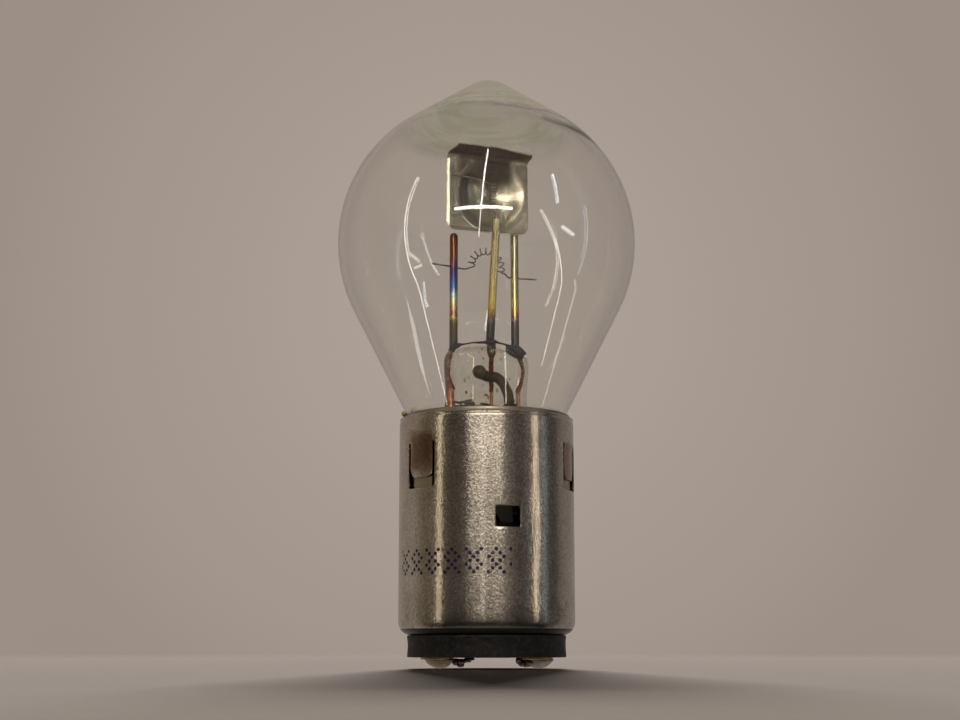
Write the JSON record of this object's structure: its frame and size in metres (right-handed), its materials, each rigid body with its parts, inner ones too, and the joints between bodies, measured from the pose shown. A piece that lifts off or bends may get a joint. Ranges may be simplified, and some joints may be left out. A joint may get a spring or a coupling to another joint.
{
  "type": "headlight bulb",
  "caption": "Twin-filament headlight bulb: clear glass envelope, beam shield and coiled filaments on a bayonet-size metal cap with contacts in its black foot.",
  "frame": {"origin": "on the lamp axis, level with the tips of the two solder contacts at the foot", "axes": "+Z along the lamp axis from the contacts to the glass tip; -Y is the front, the side the hollow of the beam shield faces; +X to the right of it"},
  "size_m": [0.0348, 0.0348, 0.0691],
  "materials": {
    "glass": "clear, thin-walled",
    "stem_glass": "clear, thick and uneven",
    "coating": "dark grey fired coating",
    "post_nickel": "nickel, tinted olive-gold by heat",
    "post_heat": "nickel with rainbow heat tints",
    "copper": "bright copper",
    "copper_oxide": "oxide-red copper-clad wire in glass",
    "tungsten": "drawn tungsten wire",
    "shield_sheet": "pressed glossy sheet",
    "cap_plating": "nickel plating, fine matt grain",
    "ferrule": "brass, bright rim",
    "cement": "baked cement",
    "insulator": "black moulded plate",
    "contact_brass": "plated brass",
    "solder": "solder dome with yellowish flux"
  },
  "bodies": {
    "root": {"glass_bulb": "glass", "stem_press": "stem_glass", "exhaust_tube": "stem_glass", "getter_coating": "coating", "high_beam_post": "post_heat", "low_beam_post": "post_nickel", "common_post": "post_nickel", "high_seal_wire": "copper_oxide", "low_seal_wire": "copper_oxide", "common_seal_wire": "copper_oxide", "high_lead_wire": "copper", "low_lead_wire": "copper", "common_lead_wire": "copper", "high_beam_filament": "tungsten", "low_beam_filament": "tungsten", "beam_shield": "shield_sheet", "cap_shell": "cap_plating", "inner_ferrule": "ferrule", "basing_cement": "cement", "insulator_plate": "insulator", "contact_eyelet_high": "contact_brass", "contact_eyelet_low": "contact_brass", "solder_dot_high": "solder", "solder_dot_low": "solder", "ground_solder": "solder"}
  },
  "joints": []
}
